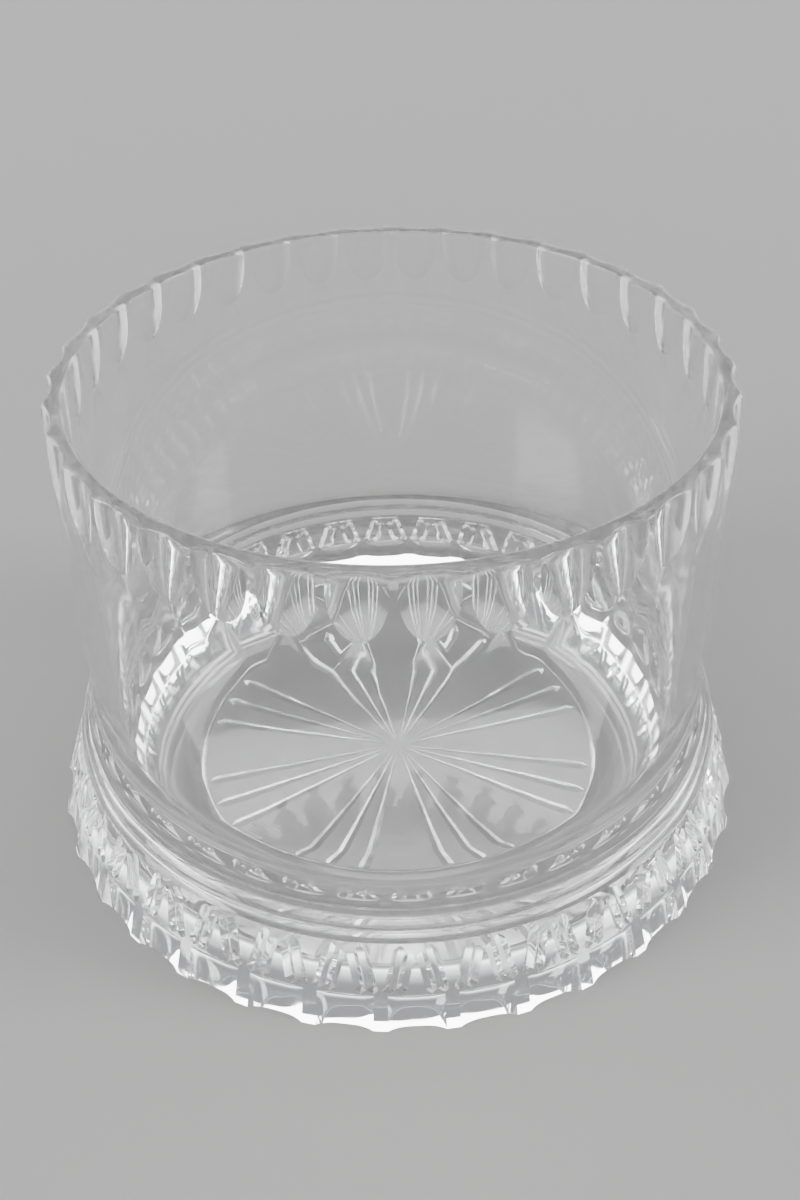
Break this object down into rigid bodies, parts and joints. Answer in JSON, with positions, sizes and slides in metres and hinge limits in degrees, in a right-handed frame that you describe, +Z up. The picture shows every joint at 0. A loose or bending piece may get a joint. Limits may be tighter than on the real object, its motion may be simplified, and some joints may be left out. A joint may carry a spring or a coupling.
{
  "type": "footed cut glass bowl",
  "caption": "Clear cut-crystal bowl with straight walls, a fluted rim, a ringed collar and a flared foot with a scalloped edge and a star-cut base.",
  "frame": {"origin": "centre of the flat face that the bowl stands on", "axes": "+Z up along the bowl's axis; +X passes through the middle of one rim flute"},
  "size_m": [0.154, 0.154, 0.102],
  "materials": {
    "bowl_crystal": "clear polished lead crystal with fine cutter's marks",
    "collar_crystal": "clear polished lead crystal",
    "foot_crystal": "clear polished lead crystal, mitre cut"
  },
  "bodies": {
    "root": {"bowl": "bowl_crystal", "collar": "collar_crystal", "foot": "foot_crystal"}
  },
  "joints": []
}
